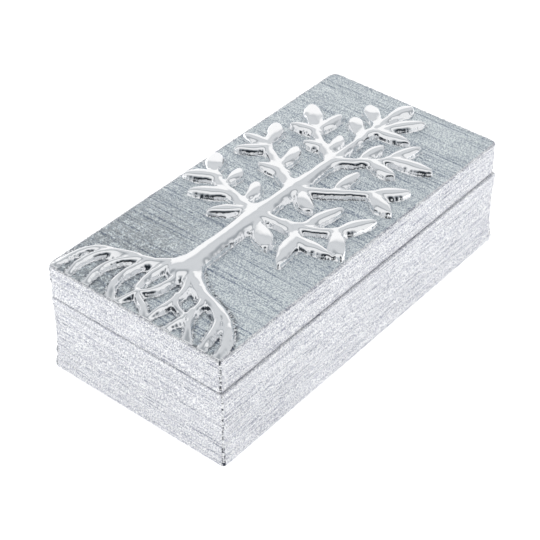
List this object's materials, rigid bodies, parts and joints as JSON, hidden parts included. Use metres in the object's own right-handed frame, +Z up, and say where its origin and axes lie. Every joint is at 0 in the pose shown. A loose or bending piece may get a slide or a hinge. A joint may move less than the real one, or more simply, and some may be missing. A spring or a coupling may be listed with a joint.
{
  "type": "lidded keepsake box",
  "caption": "Long low ceramic keepsake box in silver, with a loose lift-off lid that carries a smooth tree in relief over combed, grainy faces, on felt pads.",
  "frame": {"origin": "under the middle of the box, on the surface that the felt pads stand on", "axes": "+X along the length from the tree's roots to its crown, +Y across the width to the back, +Z up"},
  "size_m": [0.1996, 0.098, 0.0623],
  "materials": {
    "combed_silver": "silver plating over a combed, grainy glaze",
    "polished_silver": "smooth mirror silver plating",
    "felt": "pressed felt"
  },
  "bodies": {
    "base": {"base_shell": "combed_silver", "felt_pad_root_end_front": "felt", "felt_pad_root_end_back": "felt", "felt_pad_crown_end_front": "felt", "felt_pad_crown_end_back": "felt"},
    "lid": {"lid_shell": "combed_silver", "tree_relief": "polished_silver"}
  },
  "joints": [
    {"name": "lid_lift", "type": "slide", "parent": "base", "child": "lid", "axis": [0, 0, 1], "range_m": [0, 0.1]}
  ]
}
